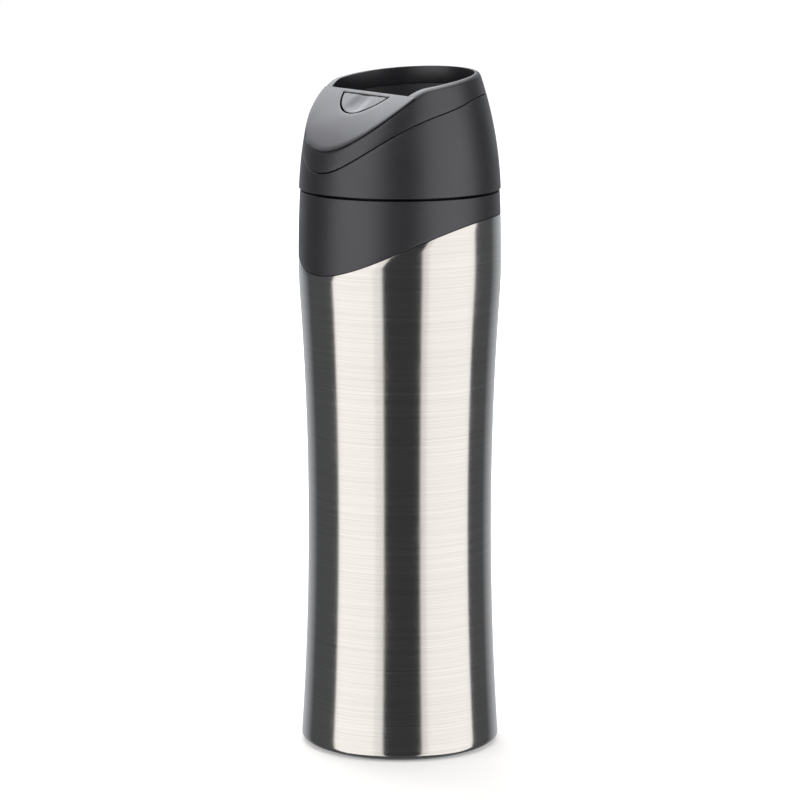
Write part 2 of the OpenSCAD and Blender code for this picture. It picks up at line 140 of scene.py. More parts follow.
class MugFinishes(bpy.types.PropertyGroup):
    """Colours of the mug's materials"""
    steel: colour("Steel", "Brushed stainless steel of the body", (0.73, 0.715, 0.70))
    plastic: colour("Plastic", "Moulded plastic of the collar and the lid", (0.0140, 0.0132, 0.0155))
    pad: colour("Pad", "Smoother plastic of the thumb pad and button", (0.026, 0.025, 0.028))
    # Painted light: the inner plastic is lighter than the moulded plastic so that the inside of the drinking
    # bowl shows lit
    inner: colour("Inner plastic", "Plastic of the plug and the lever", (0.032, 0.031, 0.035))
    silicone: colour("Silicone", "Silicone of the seals", (0.30, 0.31, 0.32))
    rubber: colour("Rubber", "Rubber of the foot", (0.020, 0.020, 0.021))
    foam: colour("Foam", "Foam between the walls", (0.72, 0.69, 0.60))
    floor: colour("Floor", "Pale floor", (0.86, 0.86, 0.86))


# ---- lines and curves of the mug ----

def body_sizes():
    return bpy.context.scene.mug_body


def lid_sizes():
    return bpy.context.scene.mug_lid


def drop(radius, distance):
    """How far an arc falls away from its tangent at a distance along it."""
    return radius - math.sqrt(radius * radius - distance * distance)


def body_radius(z):
    """Radius of the body and collar at a height."""
    s = body_sizes()
    if z < s.turn_z:
        return s.waist_r + drop(s.waist_curve, z - s.waist_z)
    widest = body_radius(s.turn_z - 1e-7) + drop(s.turn_curve, s.shoulder_z - s.turn_z)
    if z < s.shoulder_z:
        return widest - drop(s.turn_curve, s.shoulder_z - z)
    return widest - drop(s.shoulder_curve, z - s.shoulder_z)


def dome_radius(z):
    """Radius of the lid's dome at a height."""
    s = lid_sizes()
    return s.dome_r + math.sqrt(s.dome_curve ** 2 - (z - s.dome_z) ** 2)


def swoosh_line(y):
    """Height of the collar's lower edge, seen from the side."""
    s = body_sizes()
    return s.swoosh_top - (drop(s.swoosh_curve, s.swoosh_y - y) if y < s.swoosh_y else 0)


def parting_line(y):
    """Height of the line between the lid's skirt and its cap."""
    s = lid_sizes()
    slope = math.tan(math.radians(15))
    line_y, turn_y, level_y = -6 * MM, 8 * MM, 20 * MM
    z = s.part_z + math.sqrt(s.part_curve ** 2 - (min(y, line_y) - s.part_y) ** 2)
    z += slope * (max(line_y, min(y, turn_y)) - line_y)
    past = max(turn_y, min(y, level_y)) - turn_y
    return z + slope * (past - past * past / (2 * (level_y - turn_y)))


def pad_line(y):
    """Height of the thumb pad, seen from the side."""
    s = lid_sizes()
    return s.pad_z + math.sqrt(s.pad_curve ** 2 - (y - s.pad_y) ** 2)


def lid_line(y):
    """Height of the lid's top: the pad's arc in front, the sloping rim behind."""
    s = lid_sizes()
    if y < s.rim_y:
        return pad_line(y)
    middle = 8.75 * MM
    bow = 0.45 * MM * (1 - ((y - middle) / (middle - s.rim_y)) ** 2)
    return pad_line(s.rim_y) + math.tan(math.radians(6.6)) * (y - s.rim_y) + bow


def softened(line, y, reach=2.2 * MM):
    """A line's height with its corners eased over a short reach."""
    return sum(line(y + reach * k / 3) for k in range(-3, 4)) / 7


# ---- workshop: each helper is one thing done by hand ----

def alone(*pieces):
    """Leaves only these pieces selected, the first one active."""
    if bpy.context.object and bpy.context.object.mode != "OBJECT":
        bpy.ops.object.mode_set(mode="OBJECT")
    bpy.ops.object.select_all(action="DESELECT")
    for piece in pieces:
        piece.select_set(True)
    bpy.context.view_layer.objects.active = pieces[0] if pieces else None


def bench(piece):
    """Opens a piece for editing with nothing selected."""
    alone(piece)
    bpy.ops.object.mode_set(mode="EDIT")
    bpy.ops.mesh.select_mode(type="VERT")
    bpy.ops.mesh.select_all(action="DESELECT")


def pick(piece, kind, test):
    """Selects what passes a test of its middle and its direction or normal."""
    bpy.ops.mesh.select_mode(type=kind)
    bpy.ops.mesh.select_all(action="DESELECT")
    mesh = bmesh.from_edit_mesh(piece.data)
    for part in {"VERT": mesh.verts, "EDGE": mesh.edges, "FACE": mesh.faces}[kind]:
        if kind == "VERT":
            chosen = test(part.co, part.normal)
        elif kind == "EDGE":
            a, b = part.verts[0].co, part.verts[1].co
            chosen = test((a + b) / 2, (b - a).normalized())
        else:
            chosen = test(part.calc_center_median(), part.normal)
        part.select_set(bool(chosen))
    mesh.select_flush_mode()
    bmesh.update_edit_mesh(piece.data)


def grab_all():
    """Selects all of the open piece."""
    bpy.ops.mesh.select_all(action="SELECT")


def face_up(piece):
    """Turns the faces of the open sheet upwards."""
    grab_all()
    bpy.ops.mesh.normals_make_consistent(inside=False)
    mesh = bmesh.from_edit_mesh(piece.data)
    if sum(face.normal.z for face in mesh.faces) < 0:
        bpy.ops.mesh.flip_normals()


def off_bench(piece):
    """Closes a piece and sets it at the origin with its place in its mesh."""
    bpy.ops.object.mode_set(mode="OBJECT")
    bpy.ops.object.transform_apply(location=True, rotation=True, scale=True)
    return piece


def draw_line(name, points, closed=False):
    """A line of vertices through points."""
    alone()
    bpy.ops.mesh.primitive_plane_add(size=MM, location=points[0])
    piece = bpy.context.object
    piece.name = piece.data.name = name
    bench(piece)
    grab_all()
    bpy.ops.mesh.merge(type="CENTER")
    for a, b in zip(points, points[1:]):
        bpy.ops.mesh.extrude_region_move(TRANSFORM_OT_translate={"value": [q - p for p, q in zip(a, b)]})
    if closed:
        grab_all()
        bpy.ops.mesh.edge_face_add()
    return off_bench(piece)


def turn(name, outline, closed=True, steps=STEPS):
    """A shape turned about the mug's axis from an outline of radii and heights."""
    points = [(r, 0, z) for r, z in outline]
    piece = draw_line(name, points + points[:1] if closed else points)
    bench(piece)
    grab_all()
    bpy.ops.mesh.spin(steps=steps, angle=2 * math.pi, center=(0, 0, 0), axis=(0, 0, 1))
    tidy_mesh()
    return off_bench(piece)


def tidy_mesh(gap=0.002 * MM):
    """Merges what lies together on the open piece and turns its faces outwards."""
    grab_all()
    bpy.ops.mesh.remove_doubles(threshold=gap)
    bpy.ops.mesh.normals_make_consistent(inside=False)


def shift(piece, x=0, y=0, z=0):
    """Moves a whole piece in its mesh."""
    bench(piece)
    grab_all()
    bpy.ops.transform.translate(value=(x, y, z))
    return off_bench(piece)


def prism(name, side, x_low, x_high):
    """A solid with a side-view outline of (y, z) points, from one x to another."""
    piece = draw_line(name, [(x_low, y, z) for y, z in side], closed=True)
    bench(piece)
    grab_all()
    bpy.ops.mesh.extrude_region_move(TRANSFORM_OT_translate={"value": (x_high - x_low, 0, 0)})
    tidy_mesh()
    return off_bench(piece)


def sheet(name, line, low=-38 * MM, high=38 * MM, step=1 * MM):
    """A wide sheet whose height follows a side-view line."""
    count = round((high - low) / step)
    points = [(-WIDE, low + step * k, line(low + step * k)) for k in range(count + 1)]
    piece = draw_line(name, points)
    bench(piece)
    grab_all()
    bpy.ops.mesh.extrude_region_move(TRANSFORM_OT_translate={"value": (2 * WIDE, 0, 0)})
    return off_bench(piece)


def modify(piece, kind, **settings):
    """Adds a modifier with its settings and applies it."""
    alone(piece)
    modifier = piece.modifiers.new(kind.title(), kind)
    for key, value in settings.items():
        setattr(modifier, key, value)
    bpy.ops.object.modifier_apply(modifier=modifier.name)
    return piece


def lay_on(piece, target, group=""):
    """Raises or lowers a piece, or a group of its vertices, onto a sheet."""
    return modify(piece, "SHRINKWRAP", target=target, wrap_method="PROJECT", use_project_z=True,
                  use_positive_direction=True, use_negative_direction=True, vertex_group=group)


def press_on(piece, form, group=""):
    """Presses a piece, or a group of its vertices, onto the nearest place of a form."""
    return modify(piece, "SHRINKWRAP", target=form, wrap_method="NEAREST_SURFACEPOINT", vertex_group=group)


def discard(*pieces):
    for piece in pieces:
        bpy.data.objects.remove(piece, do_unlink=True)


def circle(name, radius, z):
    """A level ring of vertices."""
    alone()
    bpy.ops.mesh.primitive_circle_add(vertices=STEPS, radius=radius, location=(0, 0, z))
    piece = bpy.context.object
    piece.name = piece.data.name = name
    bpy.ops.object.transform_apply(location=True)
    return piece


def seat_ring(name, form, line_sheet, radius, z):
    """A ring that lies on a form, at the height of a sheet."""
    piece = circle(name, radius, z)
    for _ in range(5):
        lay_on(piece, line_sheet)
        press_on(piece, form)
    return piece


def weld(name, *pieces):
    """Joins pieces into one object."""
    alone(*pieces)
    bpy.ops.object.join()
    pieces[0].name = pieces[0].data.name = name
    return pieces[0]


def wrap_band(name, form, low, high, cuts):
    """A band between two rings, pressed on a form all over."""
    piece = weld(name, low, high)
    bench(piece)
    bpy.ops.mesh.select_mode(type="EDGE")
    grab_all()
    bpy.ops.mesh.bridge_edge_loops()
    if cuts:
        pick(piece, "EDGE", lambda middle, along: abs(along.z) > 0.7)
        bpy.ops.mesh.subdivide(number_cuts=cuts)
    off_bench(piece)
    piece.vertex_groups.new(name="wall").add(list(range(len(piece.data.vertices))), 1.0, "REPLACE")
    press_on(piece, form, "wall")
    bench(piece)
    tidy_mesh()
    off_bench(piece)
    return piece


def open_edge(piece, test):
    """Selects the open border edges that pass a test of their middle."""
    bpy.ops.mesh.select_mode(type="EDGE")
    bpy.ops.mesh.select_all(action="DESELECT")
    mesh = bmesh.from_edit_mesh(piece.data)
    for edge in mesh.edges:
        middle = (edge.verts[0].co + edge.verts[1].co) / 2
        edge.select_set(len(edge.link_faces) < 2 and bool(test(middle)))
    mesh.select_flush_mode()
    bmesh.update_edit_mesh(piece.data)


def join_edges(piece, test=lambda middle: True):
    """Bridges the two open border rings that pass a test."""
    open_edge(piece, test)
    bpy.ops.mesh.bridge_edge_loops()


def pull(grow=1.0, z=0.0):
    """Extrudes the selected ring, scales it about the axis and raises it."""
    bpy.ops.mesh.extrude_region_move(TRANSFORM_OT_translate={"value": (0, 0, z)})
    if grow != 1.0:
        bpy.ops.transform.resize(value=(grow, grow, 1), center_override=(0, 0, 0))


def thicken(piece, thickness):
    """Gives a wall its thickness, inwards."""
    return modify(piece, "SOLIDIFY", thickness=thickness, offset=-1, use_even_offset=True)


def ease(piece, width, segments=3, angle=50):
    """Rounds the sharp edges."""
    return modify(piece, "BEVEL", width=width, segments=segments, limit_method="ANGLE",
                  angle_limit=math.radians(angle), miter_outer="MITER_ARC", harden_normals=False)


def carve(piece, cutter, operation="DIFFERENCE", keep=False):
    """Cuts a piece with another solid, or adds it."""
    modify(piece, "BOOLEAN", object=cutter, operation=operation, solver="EXACT")
    if not keep:
        discard(cutter)
    return piece


def finish_piece(piece, body, slot, material, *nodes, angle=32):
    """Shades a piece, gives it its material and sets it on its body in place of the solids it shows."""
    alone(piece)
    bpy.ops.object.shade_smooth_by_angle(angle=math.radians(angle))
    piece.data.materials.clear()
    piece.data.materials.append(bpy.data.materials[material])
    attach(piece, body)
    if nodes:
        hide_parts(*nodes)
    return piece


# ---- forms shared by several pieces ----

def body_form():
    s = body_sizes()
    count = 110
    low, tall = s.shell_bottom, s.collar_top + 2 * MM - s.shell_bottom
    heights = [low + tall * k / count for k in range(count + 1)]
    return turn("body form", [(body_radius(z), z) for z in heights], closed=False)


def dome_form():
    s = lid_sizes()
    heights = [s.bottom - 1 * MM + 45 * MM * k / 45 for k in range(46)]
    return turn("dome form", [(dome_radius(z), z) for z in heights], closed=False)


def top_sheet(up=0.0):
    return sheet("lid line", lambda y: softened(lid_line, y) + up, step=0.7 * MM)


# ---- finishes ----

def node(tree, kind, place, **settings):
    """Adds a shader node with its settings and input values."""
    made = tree.nodes.new(kind)
    made.location = place
    for key, value in settings.items():
        if key == "inputs":
            for socket, amount in value.items():
                made.inputs[socket].default_value = amount
        else:
            setattr(made, key, value)
    return made


def link_up(tree, *pairs):
    """Joins each first socket to the second."""
    for source, target in pairs:
        tree.links.new(source, target)


def group(name, inputs, outputs):
    """A new shader group with number inputs and outputs, and its two end nodes."""
    tree = bpy.data.node_groups.new(name, "ShaderNodeTree")
    for label, default in inputs:
        socket = tree.interface.new_socket(label, in_out="INPUT", socket_type="NodeSocketFloat")
        socket.default_value = default
    for label in outputs:
        tree.interface.new_socket(label, in_out="OUTPUT", socket_type="NodeSocketFloat")
    return tree, node(tree, "NodeGroupInput", (-900, 0)), node(tree, "NodeGroupOutput", (700, 0))


def moulded_grain():
    """Fine spark-eroded texture of a moulding, with slow changes of gloss."""
    tree, given, out = group("Moulded Grain", [("Grain Scale", 3200.0), ("Cloud Scale", 45.0)],
                             ["Height", "Gloss", "Tone"])
    place = node(tree, "ShaderNodeTexCoord", (-900, -250))
    fine = node(tree, "ShaderNodeTexNoise", (-500, 200), inputs={"Detail": 3.0, "Roughness": 0.6})
    pits = node(tree, "ShaderNodeTexVoronoi", (-500, -50), feature="F1")
    cloud = node(tree, "ShaderNodeTexNoise", (-500, -350), inputs={"Detail": 4.0, "Roughness": 0.55})
    mix = node(tree, "ShaderNodeMath", (-200, 100), operation="MULTIPLY_ADD", inputs={1: 0.45})
    gloss = node(tree, "ShaderNodeMapRange", (100, -100),
                 inputs={"From Min": 0.3, "From Max": 0.7, "To Min": 0.0, "To Max": 1.0})
    tone = node(tree, "ShaderNodeMath", (100, -350), operation="MULTIPLY_ADD", inputs={1: 0.5, 2: 0.25})
    for texture, scale in ((fine, "Grain Scale"), (pits, "Grain Scale"), (cloud, "Cloud Scale")):
        link_up(tree, (place.outputs["Object"], texture.inputs["Vector"]),
             (given.outputs[scale], texture.inputs["Scale"]))
    link_up(tree, (pits.outputs["Distance"], mix.inputs[0]), (fine.outputs["Fac"], mix.inputs[2]),
         (mix.outputs[0], out.inputs["Height"]),
         (cloud.outputs["Fac"], gloss.inputs["Value"]), (gloss.outputs["Result"], out.inputs["Gloss"]),
         (fine.outputs["Fac"], tone.inputs[0]), (tone.outputs[0], out.inputs["Tone"]))


def turned_brushing():
    """Fine lines that run round a turned piece, in two sizes."""
    tree, given, out = group("Turned Brushing", [("Line Scale", 5200.0), ("Streak Length", 26.0)],
                             ["Height", "Tone"])
    place = node(tree, "ShaderNodeTexCoord", (-900, -250))
    split = node(tree, "ShaderNodeSeparateXYZ", (-720, -250))
    link_up(tree, (place.outputs["Object"], split.inputs[0]))
    made = []
    for k, (fine, long) in enumerate(((1.0, 1.0), (0.45, 0.8))):
        row = 200 - 400 * k
        gather = node(tree, "ShaderNodeCombineXYZ", (-220, row - 150))
        noise = node(tree, "ShaderNodeTexNoise", (-60, row - 150),
                     inputs={"Scale": 1.0, "Detail": 3.0, "Roughness": 0.6})
        for scale, size, axes, y in (("Line Scale", fine, "Z", row),
                                     ("Streak Length", long, "XY", row - 150)):
            share = node(tree, "ShaderNodeMath", (-540, y), operation="MULTIPLY", inputs={1: size})
            link_up(tree, (given.outputs[scale], share.inputs[0]))
            for step, axis in enumerate(axes):
                times = node(tree, "ShaderNodeMath", (-380, y - 150 * step), operation="MULTIPLY")
                link_up(tree, (share.outputs[0], times.inputs[0]), (split.outputs[axis], times.inputs[1]),
                     (times.outputs[0], gather.inputs[axis]))
        link_up(tree, (gather.outputs[0], noise.inputs["Vector"]))
        made.append(noise.outputs["Fac"])
    height = node(tree, "ShaderNodeMath", (250, 100), operation="MULTIPLY_ADD", inputs={1: 0.35})
    tone = node(tree, "ShaderNodeMapRange", (250, -200),
                inputs={"From Min": 0.475, "From Max": 0.875, "To Min": 0.0, "To Max": 1.0})
    link_up(tree, (made[1], height.inputs[0]), (made[0], height.inputs[2]),
         (height.outputs[0], out.inputs["Height"]), (height.outputs[0], tone.inputs["Value"]),
         (tone.outputs["Result"], out.inputs["Tone"]))


def handling_marks():
    """Faint smears left by hands: low where the surface is clean."""
    tree, given, out = group("Handling Marks", [("Smear Scale", 18.0)], ["Smear"])
    place = node(tree, "ShaderNodeTexCoord", (-900, -250))
    warp = node(tree, "ShaderNodeTexNoise", (-600, 0), inputs={"Detail": 2.0, "Distortion": 1.2})
    cut = node(tree, "ShaderNodeMapRange", (-200, 0),
               inputs={"From Min": 0.52, "From Max": 0.75, "To Min": 0.0, "To Max": 1.0})
    link_up(tree, (place.outputs["Object"], warp.inputs["Vector"]),
         (given.outputs["Smear Scale"], warp.inputs["Scale"]),
         (warp.outputs["Fac"], cut.inputs["Value"]), (cut.outputs["Result"], out.inputs["Smear"]))


def new_material(name, **constants):
    """A material with its shader, whose constant values are set on the shader's own sockets."""
    material = bpy.data.materials.new(name)
    material.use_nodes = True
    tree = material.node_tree
    shader = tree.nodes["Principled BSDF"]
    for socket, value in constants.items():
        shader.inputs[socket.replace("_", " ")].default_value = value
    return material, tree, shader


def place_group(tree, name, place, values):
    return node(tree, "ShaderNodeGroup", place, node_tree=bpy.data.node_groups[name], inputs=values)


def spread(tree, source, low, high, place):
    """A 0 to 1 mask turned into a range of values."""
    made = node(tree, "ShaderNodeMapRange", place, inputs={"To Min": low, "To Max": high})
    tree.links.new(source, made.inputs["Value"])
    return made.outputs["Result"]


def tint(tree, source, dark, light, place):
    """A 0 to 1 mask turned into a colour between two."""
    made = node(tree, "ShaderNodeMix", place, data_type="RGBA")
    made.inputs["A"].default_value = (*dark, 1)
    made.inputs["B"].default_value = (*light, 1)
    tree.links.new(source, made.inputs["Factor"])
    return made.outputs["Result"]


def bump(tree, shader, source, strength, distance, place):
    made = node(tree, "ShaderNodeBump", place, inputs={"Strength": strength, "Distance": distance})
    tree.links.new(source, made.inputs["Height"])
    tree.links.new(made.outputs["Normal"], shader.inputs["Normal"])


def scaled(base, amount):
    return tuple(min(1.0, c * amount) for c in base)


def surface(name, pattern, gloss, base, shades, low, high, depth, smear, smear_scale, **constants):
    """A material whose gloss, colour and bumps come from a pattern, changed a little where it was handled."""
    tree, shader = new_material(name, **constants)[1:]
    pattern = place_group(tree, *pattern)
    marks = place_group(tree, "Handling Marks", (-700, -250), {"Smear Scale": smear_scale})
    rough = spread(tree, pattern.outputs[gloss], low, high, (-450, -50))
    sum_up = node(tree, "ShaderNodeMath", (-250, -100), operation="MULTIPLY_ADD", inputs={1: smear})
    dark, light = (scaled(base, shade) for shade in shades)
    link_up(tree, (marks.outputs["Smear"], sum_up.inputs[0]), (rough, sum_up.inputs[2]),
         (sum_up.outputs[0], shader.inputs["Roughness"]),
         (tint(tree, pattern.outputs["Tone"], dark, light, (-250, 200)), shader.inputs["Base Color"]))
    bump(tree, shader, pattern.outputs["Height"], 1.0, depth, (-250, -350))


def steel_material(name, base, low, high, depth, line_scale, streak):
    pattern = ("Turned Brushing", (-700, 100), {"Line Scale": line_scale, "Streak Length": streak})
    surface(name, pattern, "Tone", base, (0.90, 1.08), low, high, depth, 0.05, 18.0, Metallic=1.0)


def plastic_material(name, base, low, high, depth, grain=3200.0, light=1.35):
    pattern = ("Moulded Grain", (-700, 100), {"Grain Scale": grain})
    surface(name, pattern, "Gloss", base, (0.85, light), low, high, depth, -0.04, 24.0,
            Specular_IOR_Level=1.0, Specular_Tint=(0.90, 0.93, 1.0, 1.0))


class MUG_OT_finishes(bpy.types.Operator):
    """Makes the finishes and gives them to the solids that stay in view"""
    bl_idname = "mug.finishes"
    bl_label = "Finishes"

    def execute(self, context):
        tones = context.scene.mug_finishes
        moulded_grain()
        turned_brushing()
        handling_marks()
        steel_material("brushed steel", tones.steel, 0.11, 0.16, 0.0000007, 5000.0, 14.0)
        steel_material("liner steel", tones.steel, 0.26, 0.38, 0.000006, 2600.0, 40.0)
        steel_material("small steel", tones.steel, 0.22, 0.34, 0.000003, 3000.0, 300.0)
        plastic_material("moulded plastic", tones.plastic, 0.34, 0.42, 0.00003)
        plastic_material("pad plastic", tones.pad, 0.30, 0.40, 0.000015)
        plastic_material("button plastic", tones.pad, 0.24, 0.31, 0.000008)
        # Painted light: this plastic's lighter colour brightens the inside of the drinking bowl in place of
        # light reaching it
        plastic_material("inner plastic", tones.inner, 0.35, 0.45, 0.00001)
        plastic_material("silicone", tones.silicone, 0.42, 0.55, 0.00001, 1800.0, 1.1)
        plastic_material("foot rubber", tones.rubber, 0.62, 0.75, 0.00004, 2400.0)
        plastic_material("foam", tones.foam, 0.85, 0.95, 0.0003, 900.0, 1.15)
        by_slot = {"shell_steel": "brushed steel", "base_steel": "liner steel", "base_rubber": "foot rubber",
                   "liner_steel": "liner steel", "foam": "foam", "collar_plastic": "moulded plastic",
                   "silicone": "silicone", "skirt_plastic": "moulded plastic",
                   "plug_plastic": "inner plastic", "fastener_steel": "small steel",
                   "cap_plastic": "moulded plastic", "deck_plastic": "pad plastic",
                   "button_plastic": "button plastic", "arm_plastic": "inner plastic"}
        for part in frame["record"]["subparts"]:
            solid = frame["nodes"][part["node"]]
            for held in solid.material_slots:
                held.material = bpy.data.materials[by_slot[part["material_slot"]]]
        return {"FINISHED"}


class MUG_OT_steel_shell(bpy.types.Operator):
    """Spins the brushed steel shell and trims its top to the swoosh"""
    bl_idname = "mug.steel_shell"
    bl_label = "Steel shell"

    def execute(self, context):
        s = body_sizes()
        form, line = body_form(), sheet("swoosh", swoosh_line)
        low_z = s.shell_bottom + s.corner_r
        low = circle("low", body_radius(low_z), low_z)
        high = seat_ring("high", form, line, body_radius(s.swoosh_top), s.swoosh_top)
        shell = wrap_band("steel_shell", form, low, high, 70)
        bench(shell)
        open_edge(shell, lambda m: m.z < low_z + 1 * MM)
        centre, before, turns = body_radius(low_z) - s.corner_r, body_radius(low_z), 7
        for k in range(1, turns + 1):
            a = math.pi / 2 * k / turns
            radius = centre + s.corner_r * math.cos(a)
            pull(radius / before, -s.corner_r * (math.sin(a) - math.sin(a - math.pi / 2 / turns)))
            before = radius
        pull(s.base_lip_r / before)
        tidy_mesh()
        off_bench(shell)
        thicken(shell, s.shell_t)
        ease(shell, 0.12 * MM, 2)
        discard(form, line)
        finish_piece(shell, "mug", "shell_steel", "brushed steel", "outer_shell")
        return {"FINISHED"}


class MUG_OT_foot(bpy.types.Operator):
    """Turns the rubber foot with its rings"""
    bl_idname = "mug.foot"
    bl_label = "Rubber foot"

    def execute(self, context):
        s = body_sizes()
        r, top, deep = s.base_lip_r - 0.2 * MM, 1.2 * MM, 0.4 * MM
        outline = [(0, 0)]
        # Three grooves: where each starts, how far its sides slope and how wide it is
        for start, slope, width in ((9, 0.3, 1.5), (18, 0.25, 1.2), (26, 0.25, 1.2)):
            outline += [(start * MM, 0), ((start + slope) * MM, deep), ((start + width - slope) * MM, deep),
                        ((start + width) * MM, 0)]
        outline += [(r - 0.5 * MM, 0), (r - 0.15 * MM, 0.12 * MM), (r, 0.45 * MM), (r, top), (0, top)]
        foot = turn("rubber_foot", outline)
        finish_piece(foot, "mug", "base_rubber", "foot rubber", "base_pad")
        return {"FINISHED"}


class MUG_OT_cup(bpy.types.Operator):
    """Turns the steel cup inside, with its flange"""
    bl_idname = "mug.cup"
    bl_label = "Inner cup"

    def execute(self, context):
        s = body_sizes()
        out, turns = s.liner_r + s.liner_t, 8
        arc = [math.pi / 2 * k / turns for k in range(turns + 1)]
        outline = [(0, s.liner_bottom)]
        outline += [(out - s.liner_corner * (1 - math.sin(a)),
                     s.liner_bottom + s.liner_corner * (1 - math.cos(a))) for a in arc]
        outline += [(out, s.liner_bottom + 60 * MM), (out, s.liner_bottom + 120 * MM)]
        outline += [(out, s.liner_top - s.liner_t), (s.flange_r - 0.2 * MM, s.liner_top - s.liner_t),
                    (s.flange_r, s.liner_top - 0.3 * MM), (s.flange_r - 0.1 * MM, s.liner_top),
                    (s.liner_r + 0.45 * MM, s.liner_top), (s.liner_r + 0.12 * MM, s.liner_top - 0.15 * MM),
                    (s.liner_r, s.liner_top - 0.5 * MM)]
        outline += [(s.liner_r, s.liner_bottom + 120 * MM), (s.liner_r, s.liner_bottom + 60 * MM)]
        inner = s.liner_corner - s.liner_t
        outline += [(s.liner_r - inner * (1 - math.sin(a)),
                     s.liner_bottom + s.liner_t + inner * (1 - math.cos(a))) for a in reversed(arc)]
        outline += [(0, s.liner_bottom + s.liner_t)]
        cup = turn("inner_cup", outline)
        finish_piece(cup, "mug", "liner_steel", "liner steel", "inner_liner")
        return {"FINISHED"}


def thread_ridge(name, inward, root_r, crest_r, phase):
    """One thread ridge: a section carried round the axis on a helix, closed at both ends."""
    lead, span, start = 12 * MM, 7.5 * MM, 180.5 * MM
    angle = 2 * math.pi * span / lead
    side = [(root_r, -0.7), (crest_r - 0.15 * MM * inward, -0.45), (crest_r, -0.3), (crest_r, 0.3),
            (crest_r - 0.15 * MM * inward, 0.45), (root_r, 0.7)]
    ridge = draw_line(name, [(r, 0, start + z * MM) for r, z in side], closed=True)
    ridge = modify(ridge, "SCREW", angle=angle, screw_offset=span, steps=54, render_steps=54, axis="Z",
                   use_smooth_shade=True)
    bench(ridge)
    close_ends()
    bpy.ops.transform.rotate(value=-phase, orient_axis="Z", center_override=(0, 0, 0))
    tidy_mesh()
    return off_bench(ridge)


def close_ends():
    """Puts a face on each open end of the piece on the bench and turns its faces outwards."""
    bpy.ops.mesh.select_all(action="DESELECT")
    bpy.ops.mesh.select_non_manifold()
    bpy.ops.mesh.edge_face_add()
    grab_all()
    bpy.ops.mesh.normals_make_consistent(inside=False)


class MUG_OT_collar(bpy.types.Operator):
    """Makes the collar over the shell, with its bore, shelf and thread"""
    bl_idname = "mug.collar"
    bl_label = "Collar"

    def execute(self, context):
        s = body_sizes()
        shelf_z, shelf_t, tuck = 174.9 * MM, 2.4 * MM, 0.978
        form, line = body_form(), sheet("swoosh", lambda y: swoosh_line(y) + s.seam)
        low = seat_ring("low", form, line, body_radius(s.swoosh_top), s.swoosh_top)
        high = circle("high", body_radius(s.collar_top), s.collar_top)
        collar = wrap_band("collar_band", form, low, high, 10)
        bench(collar)
        # Over the top and down the bore to the liner's shelf
        open_edge(collar, lambda m: m.z > s.collar_top - 0.1 * MM)
        pull(s.collar_bore / body_radius(s.collar_top))
        pull(1.0, -(s.collar_top - shelf_z))
        pull((s.liner_r + s.liner_t + 0.2 * MM) / s.collar_bore)
        pull(1.0, -shelf_t)
        # In under the lower edge and up to the shelf
        open_edge(collar, lambda m: m.xy.length > s.collar_bore + 1.9 * MM)
        pull(tuck)
        join_edges(collar)
        tidy_mesh()
        off_bench(collar)
        ease(collar, 0.22 * MM, 3)
        ridges = [thread_ridge("ridge", -1, s.collar_bore + 0.05 * MM, s.collar_bore - 1.2 * MM,
                               math.radians(60 + 120 * k)) for k in range(3)]
        collar = weld("collar_band", collar, *ridges)
        discard(form, line)
        finish_piece(collar, "mug", "collar_plastic", "moulded plastic", "collar")
        return {"FINISHED"}


class MUG_OT_skirt(bpy.types.Operator):
    """Makes the lid's skirt, up to its parting line"""
    bl_idname = "mug.skirt"
    bl_label = "Lid skirt"

    def execute(self, context):
        s = lid_sizes()
        form, line = dome_form(), sheet("parting", lambda y: softened(parting_line, y) - 0.12 * MM)
        low = circle("low", dome_radius(s.bottom), s.bottom)
        high = seat_ring("high", form, line, *PARTING_START)
        skirt = wrap_band("lid_skirt_shell", form, low, high, 14)
        thicken(skirt, 2 * MM)
        ease(skirt, 0.28 * MM, 3)
        low_z = s.bottom + 0.05 * MM
        web = turn("web", [(23.4 * MM, low_z), (32.6 * MM, low_z), (32.6 * MM, low_z + 2 * MM),
                           (23.4 * MM, low_z + 2 * MM)])
        skirt = weld("lid_skirt_shell", skirt, web)
        discard(form, line)
        finish_piece(skirt, "lid", "skirt_plastic", "moulded plastic", "lid_skirt")
        return {"FINISHED"}


